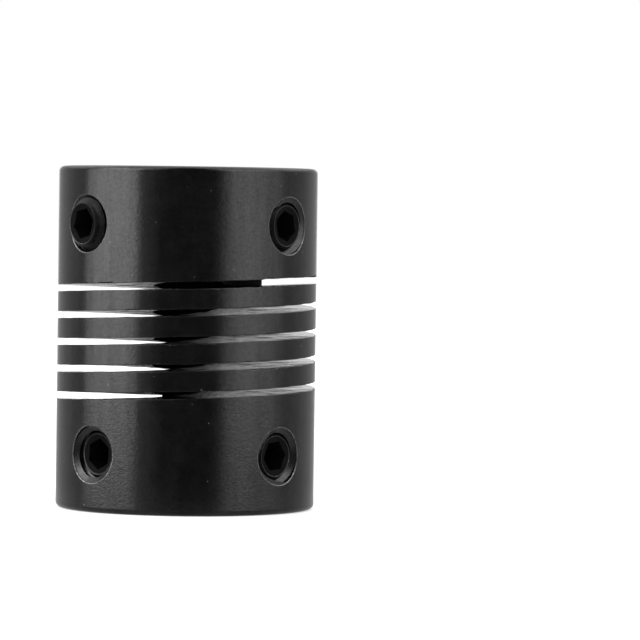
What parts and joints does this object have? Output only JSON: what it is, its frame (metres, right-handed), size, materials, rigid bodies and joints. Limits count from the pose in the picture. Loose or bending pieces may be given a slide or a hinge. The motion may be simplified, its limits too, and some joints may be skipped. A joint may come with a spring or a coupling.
{
  "type": "helical beam shaft coupling",
  "caption": "Cylindrical one-piece coupling slit by a helical beam cut, with a bore for a shaft in each end and radial hex-socket set screws that clamp them.",
  "frame": {"origin": "centre of the lower end face, on the axis", "axes": "+Z along the axis, from the lower end to the upper end; -Y is the side between the set screws, and +X is to its right"},
  "size_m": [0.019, 0.019, 0.025],
  "materials": {
    "anodised_aluminium": "fine turned, black anodised, satin",
    "blackened_steel": "black oxide, oiled"
  },
  "bodies": {
    "root": {"coupling_body": "anodised_aluminium", "set_screw_upper_left": "blackened_steel", "set_screw_upper_right": "blackened_steel", "set_screw_lower_left": "blackened_steel", "set_screw_lower_right": "blackened_steel"}
  },
  "joints": []
}
